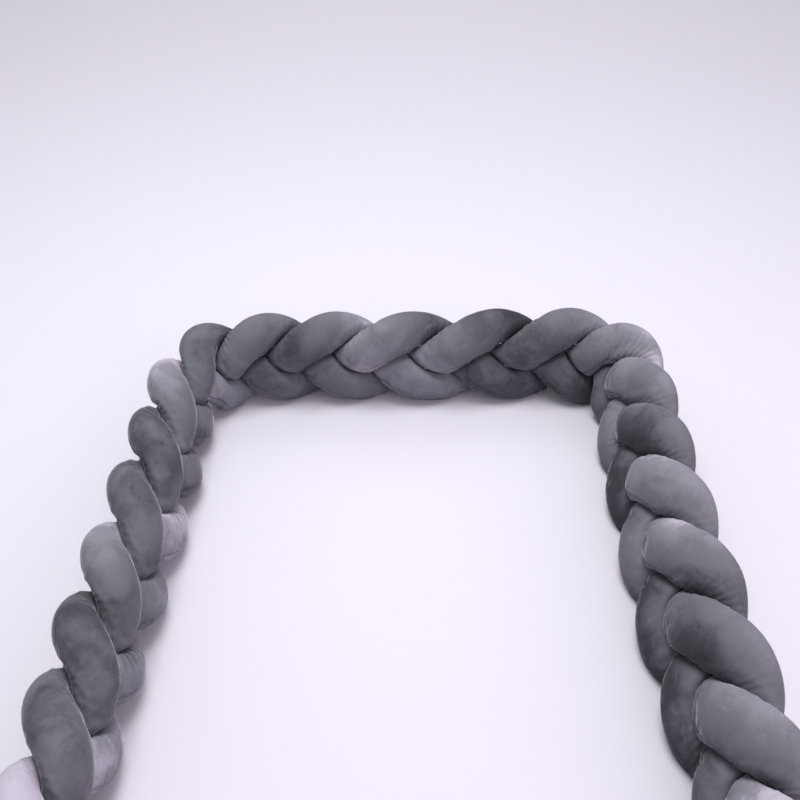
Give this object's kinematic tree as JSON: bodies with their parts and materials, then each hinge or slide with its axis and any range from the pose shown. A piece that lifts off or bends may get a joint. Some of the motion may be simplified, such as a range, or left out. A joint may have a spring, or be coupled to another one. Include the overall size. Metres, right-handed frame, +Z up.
{
  "type": "crib bumper",
  "caption": "Braided crib bumper of stuffed grey velour tubes, plaited flat and stood on edge in a U along the head end and both sides of a sleeping space.",
  "frame": {"origin": "middle of the bounding box in plan, on the surface that the bumper stands on", "axes": "+Z up; +Y towards the head end, along both arms, so the U opens towards -Y; +X to the right as seen from the open end"},
  "size_m": [0.637, 0.8042, 0.1224],
  "materials": {
    "grey_velour": "short dense velour pile, matte, pale where the nap is brushed towards the eye and dark where it is brushed away"
  },
  "bodies": {
    "root": {"strand_1": "grey_velour", "strand_2": "grey_velour", "strand_3": "grey_velour"}
  },
  "joints": []
}
